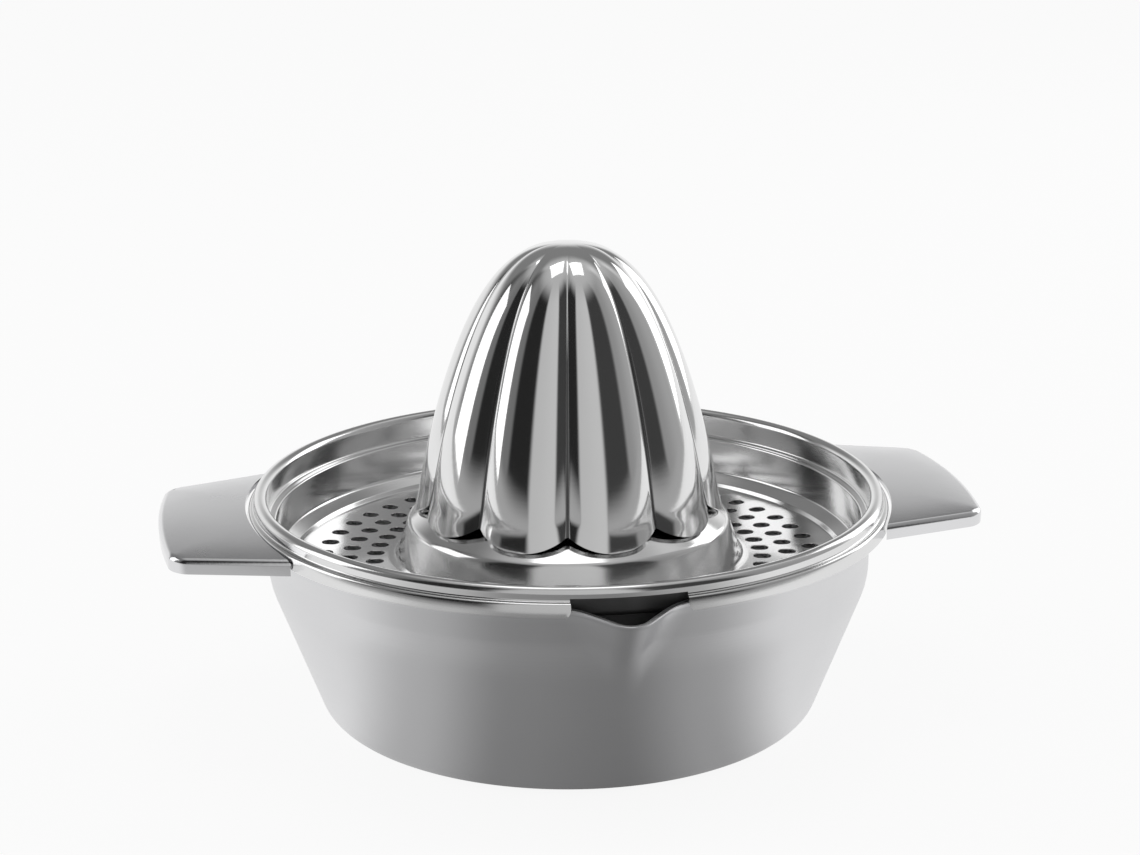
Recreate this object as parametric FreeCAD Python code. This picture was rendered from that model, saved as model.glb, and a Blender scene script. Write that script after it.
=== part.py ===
import FreeCAD, Part
import math
import os

# Hand citrus squeezer of pressed stainless steel: a deep-drawn juice bowl with a pouring lip,
# a strainer tray that hangs in it, a fluted reamer on the tray and two folded ear handles.
# Millimetres, +Z up, origin on the axis of the bowl at its underside.
# The lip points along -Y and the handles along X.

# Sheet of each piece
BOWL_SHEET = 0.8
TRAY_SHEET = 0.8
REAMER_SHEET = 0.8
HANDLE_SHEET = 0.9

# Bends of the pressed sheet: radius on the hollow side, drawn in flats of about one length
SHARP = None
BASE_BEND = 4.2
PLINTH_EDGE_BEND = 0.4
BEAD_BEND = 0
BEND_FLAT = 3.0

# Bowl, outer faces, with the drops measured down from its rim
COLLAR_RADIUS = 62.2
CONE_RUN = 11.1
NECK_FLARE = 1.7
CONE_TOP_DROP = 13.5
FLARE_BOTTOM_DROP = 7.7
FLARE_TOP_DROP = 2.7
RIM_EDGE = 0.6
RIM_EDGE_HEIGHT = 1.2

# Pouring lip, pressed out of the neck
LIP_REACH = 7.6
LIP_HALF_ANGLE = 48.0
LIP_TIP_RADIUS = 3.0
LIP_DEPTH = 13.4

# Strainer tray, with the drops measured down from its rim
TRAY_TO_BOWL_GAP = 0.3
TRAY_RIM_HEIGHT = 47.0
RIM_BEAD_WIDTH = 2.8
SKIRT_OVERHANG = 1.6
SKIRT_TOP_DROP = 2.45
SKIRT_DROP = 5.45
GROOVE_DROP = 2.75
LEDGE_DROP = 5.7
WALL_FOOT_DROP = 13.4
BAND_WIDTH = 2.7
BAND_DROP = 1.5
STEP_WIDTH = 0.5
FLOOR_DROP = 15.8
NOTCH_HALF_WIDTH = 11.0
NOTCH_DROP = 2.0
NOTCH_CORNER = 1.8

# Plinth in the middle of the tray
PLINTH_FOOT_RADIUS = 36.0
PLINTH_TOP_RADIUS = 33.8
PLINTH_EDGE_DROP = 1.3
REAMER_TO_PLINTH_GAP = 1.4
SEAT_HEIGHT = 7.0
REAMER_TO_SEAT_GAP = 0.05

# Strainer slots: rings of radial slots, every other ring set half a pitch round
SLOT_RINGS = 3
SLOTS_PER_RING = 48
PLINTH_TO_SLOTS = 4.4
SLOT_RING_SPACING = 5.4
SLOT_LENGTH = 3.4
SLOT_WIDTH = 2.3
SLOT_TURN = 3.1

# Reamer
LOBES = 10
REAMER_RADIUS = 31.6
VALLEY_DEPTH = 1.6
REAMER_HEIGHT = 54.0
REAMER_FULLNESS = 1.6
REAMER_SECTIONS = 7
LOBE_FLATS = 6
REAMER_NOSE_ANGLE = 85.0
REAMER_TURN = 7.7
SCALLOP_RISE = 3.2

# Ear handles
HANDLE_LENGTH = 17.8
HANDLE_TIP_BULGE = 2.0
HANDLE_ROOT_HALF_WIDTH = 28.0
HANDLE_TAPER = 16.5
HANDLE_CORNER = 4.0
HANDLE_DEPTH = 3.5
HANDLE_DROP = 2.3
HANDLE_FOLD = 0.3
HANDLE_DROOP = 2.0
HANDLE_TO_SKIRT_GAP = 0.1

# A cut starts and ends this far past the faces that it opens
CUT_MARGIN = 3.0

# Places that follow from the sizes above
BASE_RADIUS = COLLAR_RADIUS - CONE_RUN
NECK_RADIUS = COLLAR_RADIUS + NECK_FLARE
NECK_BORE = NECK_RADIUS - BOWL_SHEET
COLLAR_BORE = COLLAR_RADIUS - BOWL_SHEET
LIP_TIP_REACH = NECK_RADIUS + LIP_REACH
LIP_LEAN = LIP_TIP_REACH - COLLAR_RADIUS
THROAT_RADIUS = NECK_BORE - TRAY_TO_BOWL_GAP - TRAY_SHEET
TRAY_WALL_RADIUS = COLLAR_BORE - TRAY_TO_BOWL_GAP - TRAY_SHEET
BEAD_OUTER_RADIUS = THROAT_RADIUS + RIM_BEAD_WIDTH
SKIRT_RADIUS = BEAD_OUTER_RADIUS + SKIRT_OVERHANG
GROOVE_SLOPE = (GROOVE_DROP - SKIRT_TOP_DROP) / SKIRT_OVERHANG
GROOVE_DEPTH = GROOVE_DROP + TRAY_SHEET * (GROOVE_SLOPE + math.hypot(1, GROOVE_SLOPE))
BOWL_HEIGHT = TRAY_RIM_HEIGHT - GROOVE_DEPTH - TRAY_TO_BOWL_GAP
HANDLE_REACH = SKIRT_RADIUS + HANDLE_LENGTH
SLOT_RING_RADIUS = PLINTH_FOOT_RADIUS + PLINTH_TO_SLOTS
REAMER_FOOT_HEIGHT = TRAY_RIM_HEIGHT - SCALLOP_RISE
PLINTH_HEIGHT = REAMER_FOOT_HEIGHT - REAMER_TO_PLINTH_GAP
FLOOR_HEIGHT = TRAY_RIM_HEIGHT - FLOOR_DROP
REAMER_VALLEY_RADIUS = REAMER_RADIUS - VALLEY_DEPTH
LOBE_HALF_ANGLE = math.pi / LOBES

AXIS = FreeCAD.Vector(0, 0, 1)
ORIGIN = FreeCAD.Vector(0, 0, 0)


def at(radius, height):
    """A point of a turned section, in the plane of the X and Z axes."""
    return FreeCAD.Vector(radius, 0, height)


def direction(start, end):
    return (end - start).normalize()


def shifted_path(points, distance):
    """The same run of straight lines, moved to its right by a distance."""
    runs = [direction(a, b) for a, b in zip(points, points[1:])]
    rights = [FreeCAD.Vector(run.z, 0, -run.x) for run in runs]
    corners = []
    for corner, before, after in zip(points[1:], rights, rights[1:]):
        mitre = before + after
        corners.append(corner + mitre * (2 * distance / mitre.Length ** 2))
    first = points[0] + rights[0] * distance
    last = points[-1] + rights[-1] * distance
    return [first] + corners + [last]


def bend_points(before, corner, after, radius):
    """Points along the tangent arc at a corner, where the bend's flats meet."""
    if radius == 0:
        return [corner]
    back = direction(corner, before)
    ahead = direction(corner, after)
    half_angle = back.getAngle(ahead) / 2
    centre = corner + (back + ahead).normalize() * (radius / math.sin(half_angle))
    setback = radius / math.tan(half_angle)
    first = corner + back * setback - centre
    last = corner + ahead * setback - centre
    turn = math.pi - 2 * half_angle
    flats = max(1, round(turn * radius / BEND_FLAT))
    across = (last - first * math.cos(turn)) * (1 / math.sin(turn))
    steps = [turn * step / flats for step in range(flats + 1)]
    return [centre + first * math.cos(step) + across * math.sin(step) for step in steps]


def sheet_faces(path, sheet):
    """Both faces of a bent sheet: the face along the path, and the one behind, to its right.

    The path lists each corner with its bend radius on the hollow side, as a press tool gives it.
    """
    corners = [corner for corner, _ in path]
    behind = shifted_path(corners, sheet)
    front = [corners[0]]
    back = [behind[0]]
    for place in range(1, len(corners) - 1):
        before, corner, after = corners[place - 1:place + 2]
        turns_left = direction(before, corner).cross(direction(corner, after)).y < 0
        radius = path[place][1]
        if radius is SHARP:
            inner_radius, outer_radius = 0, 0
        else:
            inner_radius, outer_radius = radius, radius + sheet
        front_radius = inner_radius if turns_left else outer_radius
        back_radius = outer_radius if turns_left else inner_radius
        front += bend_points(before, corner, after, front_radius)
        back += bend_points(*behind[place - 1:place + 2], back_radius)
    return front + [corners[-1]], back + [behind[-1]]


def turned(outline):
    """Turn a closed outline about the axis of the bowl."""
    face = Part.Face(Part.makePolygon(outline + outline[:1]))
    return face.revolve(ORIGIN, AXIS, 360)


def line(start, end):
    return Part.LineSegment(start, end).toShape()


def start_of(edges):
    return edges[0].valueAt(edges[0].FirstParameter)


def end_of(edges):
    return edges[-1].valueAt(edges[-1].LastParameter)


def lip_path(grow):
    """Plan of the lip at the rim: two straight sides and a round tip, moved out by grow."""
    half_angle = math.radians(LIP_HALF_ANGLE)
    tip_radius = LIP_TIP_RADIUS + grow
    tip_centre = FreeCAD.Vector(0, LIP_TIP_RADIUS - LIP_TIP_REACH, BOWL_HEIGHT)
    side = FreeCAD.Vector(math.cos(half_angle), -math.sin(half_angle), 0)
    mirrored = FreeCAD.Vector(-side.x, side.y, 0)
    back = FreeCAD.Vector(math.sin(half_angle), math.cos(half_angle), 0)
    mirrored_back = FreeCAD.Vector(-back.x, back.y, 0)
    side_length = NECK_RADIUS / 3
    right_end = tip_centre + side * tip_radius
    left_end = tip_centre + mirrored * tip_radius
    tip = tip_centre - FreeCAD.Vector(0, tip_radius, 0)
    right_root = right_end + back * side_length
    left_root = left_end + mirrored_back * side_length
    nose = Part.Arc(left_end, tip, right_end).toShape()
    return [line(left_root, left_end), nose, line(right_end, right_root)]


def lip_plan(grow):
    path = lip_path(grow)
    return Part.Face(Part.Wire(path + [line(end_of(path), start_of(path))]))


def lip_prow(grow):
    """The leaning prism that pushes the lip out of the wall, from the rim to under its crease."""
    lean = FreeCAD.Vector(0, LIP_LEAN, -LIP_DEPTH)
    return lip_plan(grow).extrude(lean * (1 + CUT_MARGIN / LIP_DEPTH))


def rim_edge():
    """The folded edge, round the neck and out along the lip."""
    down = AXIS * -RIM_EDGE_HEIGHT
    ring = Part.makeCylinder(NECK_RADIUS + RIM_EDGE, RIM_EDGE_HEIGHT, AXIS * BOWL_HEIGHT, -AXIS)
    return [ring, lip_plan(RIM_EDGE).extrude(down)]


def make_bowl():
    path = [
        (at(NECK_RADIUS, BOWL_HEIGHT), SHARP),
        (at(NECK_RADIUS, BOWL_HEIGHT - FLARE_TOP_DROP), SHARP),
        (at(COLLAR_RADIUS, BOWL_HEIGHT - FLARE_BOTTOM_DROP), SHARP),
        (at(COLLAR_RADIUS, BOWL_HEIGHT - CONE_TOP_DROP), SHARP),
        (at(BASE_RADIUS, 0), BASE_BEND),
        (at(0, 0), SHARP),
    ]
    outside, inside = sheet_faces(path, BOWL_SHEET)
    filled = turned(outside + [at(0, BOWL_HEIGHT)])
    filled = filled.fuse([lip_prow(0)] + rim_edge())
    open_top = BOWL_HEIGHT + CUT_MARGIN
    hollow = turned([at(NECK_BORE, open_top)] + inside[1:] + [at(0, open_top)])
    hollow = hollow.fuse([lip_prow(-BOWL_SHEET), lip_plan(-BOWL_SHEET).extrude(AXIS * CUT_MARGIN)])
    return filled.cut(hollow).removeSplitter()


def slot(ring_radius, turn):
    """One radial slot, standing through the tray floor."""
    inner = ring_radius - SLOT_LENGTH / 2
    bottom = FLOOR_HEIGHT - TRAY_SHEET - CUT_MARGIN
    tool = Part.makeBox(
        SLOT_LENGTH,
        SLOT_WIDTH,
        TRAY_SHEET + 2 * CUT_MARGIN,
        FreeCAD.Vector(inner, -SLOT_WIDTH / 2, bottom),
    )
    tool.rotate(ORIGIN, AXIS, turn)
    return tool


def slots():
    pitch = 360 / SLOTS_PER_RING
    tools = []
    for ring in range(SLOT_RINGS):
        radius = SLOT_RING_RADIUS + ring * SLOT_RING_SPACING
        stagger = pitch / 2 if ring % 2 else 0
        for count in range(SLOTS_PER_RING):
            tools.append(slot(radius, SLOT_TURN + stagger + count * pitch))
    return tools


def lip_notch():
    """The gap in the skirt over the lip, with rounded lower corners on the skirt's ends."""
    top = TRAY_RIM_HEIGHT - NOTCH_DROP
    skirt_bottom = TRAY_RIM_HEIGHT - SKIRT_DROP
    near = -THROAT_RADIUS / 2
    flared = NOTCH_HALF_WIDTH + NOTCH_CORNER

    def on_notch(x, z):
        return FreeCAD.Vector(x, near, z)

    def skirt_corner(side):
        bow = NOTCH_CORNER * (1 - math.sqrt(0.5))
        start = on_notch(side * NOTCH_HALF_WIDTH, skirt_bottom + NOTCH_CORNER)
        middle = on_notch(side * (NOTCH_HALF_WIDTH + bow), skirt_bottom + bow)
        end = on_notch(side * flared, skirt_bottom)
        return Part.Arc(start, middle, end).toShape()

    outline = Part.Wire(Part.__sortEdges__([
        line(on_notch(-NOTCH_HALF_WIDTH, top), on_notch(NOTCH_HALF_WIDTH, top)),
        line(on_notch(NOTCH_HALF_WIDTH, top), on_notch(NOTCH_HALF_WIDTH, skirt_bottom + NOTCH_CORNER)),
        skirt_corner(1),
        line(on_notch(flared, skirt_bottom), on_notch(flared, skirt_bottom - CUT_MARGIN)),
        line(on_notch(flared, skirt_bottom - CUT_MARGIN), on_notch(-flared, skirt_bottom - CUT_MARGIN)),
        line(on_notch(-flared, skirt_bottom - CUT_MARGIN), on_notch(-flared, skirt_bottom)),
        skirt_corner(-1),
        line(on_notch(-NOTCH_HALF_WIDTH, skirt_bottom + NOTCH_CORNER), on_notch(-NOTCH_HALF_WIDTH, top)),
    ]))
    block = Part.Face(outline).extrude(FreeCAD.Vector(0, -SKIRT_RADIUS, 0))
    bead_middle = THROAT_RADIUS + RIM_BEAD_WIDTH / 2
    core = Part.makeCylinder(bead_middle, TRAY_RIM_HEIGHT)
    return block.cut(core)


def seat_radius():
    """The seat stands inside the valleys of the reamer, where the two are spot-welded."""
    inner_valley, _ = lobe_point(REAMER_SHEET, 1)
    seat_top = SEAT_HEIGHT - REAMER_TO_PLINTH_GAP
    scale = flute_scale(seat_top, REAMER_HEIGHT - REAMER_SHEET)
    return inner_valley * scale - REAMER_TO_SEAT_GAP


def make_strainer_tray():
    seat = seat_radius()
    wall_foot = TRAY_RIM_HEIGHT - WALL_FOOT_DROP
    step_top = wall_foot - BAND_DROP
    step_radius = TRAY_WALL_RADIUS - BAND_WIDTH
    ledge = TRAY_RIM_HEIGHT - LEDGE_DROP
    path = [
        (at(0, PLINTH_HEIGHT + SEAT_HEIGHT), SHARP),
        (at(seat, PLINTH_HEIGHT + SEAT_HEIGHT), SHARP),
        (at(seat, PLINTH_HEIGHT), SHARP),
        (at(PLINTH_TOP_RADIUS, PLINTH_HEIGHT - PLINTH_EDGE_DROP), PLINTH_EDGE_BEND),
        (at(PLINTH_FOOT_RADIUS, FLOOR_HEIGHT), SHARP),
        (at(step_radius - STEP_WIDTH, FLOOR_HEIGHT), SHARP),
        (at(step_radius, step_top), SHARP),
        (at(TRAY_WALL_RADIUS, wall_foot), SHARP),
        (at(TRAY_WALL_RADIUS, ledge), SHARP),
        (at(THROAT_RADIUS, ledge), SHARP),
        (at(THROAT_RADIUS, TRAY_RIM_HEIGHT), BEAD_BEND),
        (at(BEAD_OUTER_RADIUS, TRAY_RIM_HEIGHT), BEAD_BEND),
        (at(BEAD_OUTER_RADIUS, TRAY_RIM_HEIGHT - GROOVE_DROP), SHARP),
        (at(SKIRT_RADIUS, TRAY_RIM_HEIGHT - SKIRT_TOP_DROP), SHARP),
        (at(SKIRT_RADIUS, TRAY_RIM_HEIGHT - SKIRT_DROP), SHARP),
    ]
    top, underside = sheet_faces(path, TRAY_SHEET)
    tray = turned(top + underside[::-1])
    return tray.cut(slots() + [lip_notch()])


def flute_section(step, full_height):
    """A section of the reamer's loft: its height over the foot, and its share of the foot's size."""
    angle = math.radians(REAMER_NOSE_ANGLE * step / REAMER_SECTIONS)
    return full_height * math.sin(angle) ** (2 / REAMER_FULLNESS), math.cos(angle)


def flute_scale(height, full_height):
    """Share of the foot's size that the loft has at a height over the foot."""
    sections = [flute_section(step, full_height) for step in range(REAMER_SECTIONS + 1)]
    for (low, wide), (high, narrow) in zip(sections, sections[1:]):
        if height <= high:
            return wide + (narrow - wide) * (height - low) / (high - low)
    return sections[-1][1]


def lobe_centre():
    """How far from the axis the arc of each lobe has its centre, at the foot."""
    rise = REAMER_RADIUS ** 2 - REAMER_VALLEY_RADIUS ** 2
    reach = REAMER_RADIUS - REAMER_VALLEY_RADIUS * math.cos(LOBE_HALF_ANGLE)
    return rise / (2 * reach)


def lobe_point(inset, share):
    """Polar point of a lobe's arc, drawn in by inset, from its crest (0) to its valleys (-1, 1)."""
    centre = lobe_centre()
    radius = REAMER_RADIUS - centre - inset
    valley_turn = LOBE_HALF_ANGLE + math.asin(centre * math.sin(LOBE_HALF_ANGLE) / radius)
    x = centre + radius * math.cos(share * valley_turn)
    y = radius * math.sin(share * valley_turn)
    return math.hypot(x, y), math.atan2(y, x)


def fluted_ring(inset, scale, height):
    """Corners of a ring of lobes: from valley to valley over each crest, in flats along an arc."""
    points = []
    for lobe in range(LOBES):
        crest_turn = math.radians(REAMER_TURN) + (2 * lobe + 1) * LOBE_HALF_ANGLE
        for flat in range(LOBE_FLATS):
            radius, turn = lobe_point(inset, 2 * flat / LOBE_FLATS - 1)
            x = scale * radius * math.cos(crest_turn + turn)
            y = scale * radius * math.sin(crest_turn + turn)
            points.append(FreeCAD.Vector(x, y, height))
    return points


def flat_face(corners):
    return Part.Face(Part.makePolygon(corners + corners[:1]))


def ruled_solid(rings):
    """Flat-sided loft through rings of corners, closed at both ends."""
    faces = [flat_face(rings[0]), flat_face(rings[-1])]
    for lower, upper in zip(rings, rings[1:]):
        for place in range(len(lower)):
            faces.append(flat_face([lower[place - 1], lower[place], upper[place], upper[place - 1]]))
    return Part.makeSolid(Part.makeShell(faces))


def fluted_solid(inset, skirt):
    """Loft of the shrinking rings of lobes, from a skirt under the foot to the nose."""
    full_height = REAMER_HEIGHT - inset
    rings = [fluted_ring(inset, 1, REAMER_FOOT_HEIGHT - skirt)]
    for step in range(REAMER_SECTIONS + 1):
        height, scale = flute_section(step, full_height)
        rings.append(fluted_ring(inset, scale, REAMER_FOOT_HEIGHT + height))
    return ruled_solid(rings)


def scallop_trim():
    """What is trimmed off the foot, so that each lobe ends in an arc between two valleys."""
    half_chord = REAMER_VALLEY_RADIUS * math.sin(LOBE_HALF_ANGLE)
    arc_radius = (half_chord ** 2 + SCALLOP_RISE ** 2) / (2 * SCALLOP_RISE)
    bottom = FreeCAD.Vector(0, 0, REAMER_FOOT_HEIGHT - 2 * CUT_MARGIN)
    slab_radius = REAMER_RADIUS + CUT_MARGIN
    slab = Part.makeCylinder(slab_radius, 2 * CUT_MARGIN + SCALLOP_RISE, bottom, AXIS)
    centre = FreeCAD.Vector(0, 0, REAMER_FOOT_HEIGHT + arc_radius)
    tools = []
    for lobe in range(LOBES):
        turn = math.radians(REAMER_TURN) + (2 * lobe + 1) * LOBE_HALF_ANGLE
        outward = FreeCAD.Vector(math.cos(turn), math.sin(turn), 0)
        tools.append(Part.makeCylinder(arc_radius, slab_radius + CUT_MARGIN, centre, outward))
    return slab.cut(tools)


def make_reamer():
    outside = fluted_solid(0, CUT_MARGIN / 2)
    inside = fluted_solid(REAMER_SHEET, CUT_MARGIN)
    return outside.cut(inside).cut(scallop_trim())


def ear_block(inset, top, depth, fold):
    """Solid of the handle's plan on the +X side, drawn in by inset, with its top edge folded."""
    taper = math.radians(HANDLE_TAPER)
    root = SKIRT_RADIUS / 2
    corner = HANDLE_REACH - HANDLE_TIP_BULGE - inset
    tip = HANDLE_REACH - inset

    def half_width(x):
        return HANDLE_ROOT_HALF_WIDTH - (x - SKIRT_RADIUS) * math.tan(taper) - inset / math.cos(taper)

    def place(x, y):
        return FreeCAD.Vector(x, y, top - depth)

    front_root = place(root, -half_width(root))
    front_corner = place(corner, -half_width(corner))
    back_corner = place(corner, half_width(corner))
    back_root = place(root, half_width(root))
    outline = Part.Wire([
        line(front_root, front_corner),
        Part.Arc(front_corner, place(tip, 0), back_corner).toShape(),
        line(back_corner, back_root),
        line(back_root, front_root),
    ])
    block = Part.Face(outline).extrude(AXIS * depth)
    uprights = [edge for edge in block.Edges if is_tip_corner(edge)]
    block = block.makeFillet(HANDLE_CORNER - inset, uprights)
    rims = [edge for edge in block.Edges if is_top_rim(edge, top)]
    return block.makeChamfer(fold, rims)


def is_tip_corner(edge):
    box = edge.BoundBox
    return box.ZLength > box.DiagonalLength / 2 and box.XMin > SKIRT_RADIUS


def is_top_rim(edge, top):
    box = edge.BoundBox
    at_top = abs(box.ZMin - top) < HANDLE_SHEET / 10 and abs(box.ZMax - top) < HANDLE_SHEET / 10
    return at_top and box.XMax > SKIRT_RADIUS


def make_handle(turn):
    top = TRAY_RIM_HEIGHT - HANDLE_DROP
    shell = ear_block(0, top, HANDLE_DEPTH, HANDLE_FOLD + HANDLE_SHEET)
    hollow = ear_block(HANDLE_SHEET, top - HANDLE_SHEET, HANDLE_DEPTH, HANDLE_FOLD)
    handle = shell.cut(hollow)
    handle.rotate(at(SKIRT_RADIUS, top), FreeCAD.Vector(0, 1, 0), HANDLE_DROOP)
    root_tool = Part.makeCylinder(SKIRT_RADIUS + HANDLE_TO_SKIRT_GAP, 2 * TRAY_RIM_HEIGHT)
    handle = handle.cut(root_tool)
    handle.rotate(ORIGIN, AXIS, turn)
    return handle


PARTS = {
    "juice_bowl": make_bowl(),
    "strainer_tray": make_strainer_tray(),
    "fluted_reamer": make_reamer(),
    "right_ear_handle": make_handle(0),
    "left_ear_handle": make_handle(180),
}

os.makedirs("parts", exist_ok=True)
for name, shape in PARTS.items():
    shape.exportStep("parts/" + name + ".step")
    print(name, "solids", len(shape.Solids), "valid", shape.isValid(), "volume", round(shape.Volume, 1))
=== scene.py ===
import math

import bpy
from mathutils import Matrix, Vector
from mathutils.kdtree import KDTree


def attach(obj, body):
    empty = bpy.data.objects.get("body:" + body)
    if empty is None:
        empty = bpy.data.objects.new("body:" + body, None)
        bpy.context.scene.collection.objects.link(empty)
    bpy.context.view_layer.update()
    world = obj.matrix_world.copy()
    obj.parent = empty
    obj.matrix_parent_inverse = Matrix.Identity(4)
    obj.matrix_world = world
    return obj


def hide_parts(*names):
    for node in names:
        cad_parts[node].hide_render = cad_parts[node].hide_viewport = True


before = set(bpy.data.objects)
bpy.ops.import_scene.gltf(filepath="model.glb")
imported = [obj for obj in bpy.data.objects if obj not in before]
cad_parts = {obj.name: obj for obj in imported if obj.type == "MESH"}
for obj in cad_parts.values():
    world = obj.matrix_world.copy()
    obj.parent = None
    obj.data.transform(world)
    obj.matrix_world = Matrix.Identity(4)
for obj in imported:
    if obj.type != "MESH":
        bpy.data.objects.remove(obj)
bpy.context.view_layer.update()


# Juice bowl
# Deep-drawn from 0.8 mm stainless steel and brushed satin. Its rim is folded over, and the
# pouring lip is pressed out of the wall at the front.

MM = 0.001
BOWL_SHEET = 0.8
BOWL_SIDES = 320
BOWL_SMOOTHING = 40
BOWL_RIM_HEIGHT = 42.99
NECK_RADIUS = 63.9
RIM_EDGE = 0.6
RIM_EDGE_HEIGHT = 1.2
RIM_MARGIN = 0.1
BASE_MIDDLE = 8.0

# Corners of the outer face from the base up: radius, height and bend radius
BOWL_CORNERS = [
    (BASE_MIDDLE, 0, 0),
    (51.1, 0, 5.0),
    (62.2, 29.5, 14.0),
    (62.2, 35.3, 4.0),
    (NECK_RADIUS, 40.3, 3.0),
    (NECK_RADIUS, BOWL_RIM_HEIGHT, 0),
]

# Corners of the folded rim, from under its edge round to the inner face
RIM_CORNERS = [
    (NECK_RADIUS, BOWL_RIM_HEIGHT - RIM_EDGE_HEIGHT, 0.2),
    (NECK_RADIUS + RIM_EDGE, BOWL_RIM_HEIGHT - RIM_EDGE_HEIGHT, 0.25),
    (NECK_RADIUS + RIM_EDGE, BOWL_RIM_HEIGHT, 0.35),
    (NECK_RADIUS - BOWL_SHEET, BOWL_RIM_HEIGHT, 0.35),
]

# The wall near the lip is divided finely, so that the lip can be pressed out of it
WALL_SPACING = 1.2
WALL_SPACED_ABOVE = 25.0

LIP_REACH = 7.6
LIP_SIDE_ANGLE = math.radians(45)
LIP_TIP_RADIUS = 4.5
LIP_DEPTH = 13.4
LIP_FADE_DEPTH = 1.6 * LIP_DEPTH
LIP_LEAN = 9.3
LIP_DIP = 1.2
LIP_BLEND = 2.6
LIP_CROWDING = 0.75
LIP_HEADING = math.radians(-0.4)

# How finely bends are drawn
LEAST_BEND = 0.05
WIDE_BEND = 3
WIDE_BEND_STEP = math.radians(9)
TIGHT_BEND_STEP = math.radians(16)
LONGEST_RUN = 100.0
SAME_PLACE = 0.002


def clear_selection():
    if bpy.context.mode != "OBJECT":
        bpy.ops.object.mode_set(mode="OBJECT")
    bpy.ops.object.select_all(action="DESELECT")


def other_face(corners, sheet):
    """Corners of the far face of a bent sheet: to the left, or to the right if negative."""
    points = [Vector(corner[:2]) for corner in corners]
    runs = [(b - a).normalized() for a, b in zip(points, points[1:])]
    lefts = [Vector((-run.y, run.x)) for run in runs]
    far = [(*(points[0] + lefts[0] * sheet), 0)]
    for index in range(1, len(points) - 1):
        mitre = lefts[index - 1] + lefts[index]
        point = points[index] + mitre * (2 * sheet / mitre.length_squared)
        turns_left = runs[index - 1].x * runs[index].y - runs[index - 1].y * runs[index].x > 0
        bend = corners[index][2] + (-sheet if turns_left else sheet)
        far.append((*point, max(bend, LEAST_BEND)))
    far.append((*(points[-1] + lefts[-1] * sheet), 0))
    return far


def rounded(corners, spacing=LONGEST_RUN, spaced_above=0.0):
    """The run through the corners, with an arc at each bend and short steps above a height."""
    run = []
    for index, (radius, height, bend) in enumerate(corners):
        corner = Vector((radius, height))
        if bend == 0 or index in (0, len(corners) - 1):
            run.append(corner)
            continue
        back = (Vector(corners[index - 1][:2]) - corner).normalized()
        ahead = (Vector(corners[index + 1][:2]) - corner).normalized()
        half = back.angle(ahead) / 2
        centre = corner + (back + ahead).normalized() * (bend / math.sin(half))
        first = corner + back * (bend / math.tan(half)) - centre
        last = corner + ahead * (bend / math.tan(half)) - centre
        turn = math.pi - 2 * half
        bend_step = WIDE_BEND_STEP if bend > WIDE_BEND else TIGHT_BEND_STEP
        steps = max(2, math.ceil(turn / bend_step))
        for step in range(steps + 1):
            share = step / steps
            from_first = math.sin((1 - share) * turn) / math.sin(turn)
            from_last = math.sin(share * turn) / math.sin(turn)
            run.append(centre + first * from_first + last * from_last)
    stepped = [run[0]]
    for start, end in zip(run, run[1:]):
        cuts = 1
        if max(start.y, end.y) > spaced_above:
            cuts = math.ceil((end - start).length / spacing)
        stepped += [start.lerp(end, cut / cuts) for cut in range(1, cuts + 1)]
    return stepped


def turned(name, outline, sides, fill=True):
    """Draw an outline from point to point and spin it about the upright axis."""
    clear_selection()
    bpy.ops.mesh.primitive_plane_add(size=MM)
    piece = bpy.context.object
    piece.name = name
    piece.data.name = name
    bpy.ops.object.mode_set(mode="EDIT")
    bpy.ops.mesh.select_mode(type="VERT")
    bpy.ops.mesh.select_all(action="SELECT")
    bpy.ops.mesh.merge(type="CENTER")
    bpy.ops.transform.translate(value=(outline[0].x * MM, 0, outline[0].y * MM))
    for here, there in zip(outline, outline[1:]):
        step = ((there.x - here.x) * MM, 0, (there.y - here.y) * MM)
        bpy.ops.mesh.extrude_vertices_move(TRANSFORM_OT_translate={"value": step})
    bpy.ops.mesh.select_all(action="SELECT")
    bpy.ops.mesh.spin(steps=sides, angle=math.tau, center=(0, 0, 0), axis=(0, 0, 1))
    bpy.ops.mesh.select_all(action="SELECT")
    bpy.ops.mesh.remove_doubles(threshold=SAME_PLACE * MM)
    if fill:
        bpy.ops.mesh.fill_holes(sides=0)
    bpy.ops.mesh.normals_make_consistent(inside=False)
    bpy.ops.object.mode_set(mode="OBJECT")
    return piece


def smooth_by_angle(piece, angle):
    clear_selection()
    piece.select_set(True)
    bpy.context.view_layer.objects.active = piece
    bpy.ops.object.shade_smooth_by_angle(angle=math.radians(angle))


def blended_max(first, second, blend):
    """The larger of two lengths, eased into each other where they are nearly the same."""
    overlap = max(blend - abs(first - second), 0) / blend
    return max(first, second) + overlap ** 2 * blend / 4


def lip_radius(around, height, grow):
    """How far out the pressed lip stands at an angle from its middle, drawn out by grow."""
    tip_radius = LIP_TIP_RADIUS + grow
    fall = LIP_LEAN * (BOWL_RIM_HEIGHT - height) / LIP_DEPTH
    centre = NECK_RADIUS + LIP_REACH - LIP_TIP_RADIUS - fall
    around = abs(around)
    side_start = math.atan2(
        tip_radius * math.sin(LIP_SIDE_ANGLE),
        centre + tip_radius * math.cos(LIP_SIDE_ANGLE),
    )
    if around < side_start:
        across = centre * math.sin(around)
        return centre * math.cos(around) + math.sqrt(tip_radius ** 2 - across ** 2)
    return (centre * math.cos(LIP_SIDE_ANGLE) + tip_radius) / math.cos(LIP_SIDE_ANGLE - around)


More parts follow.
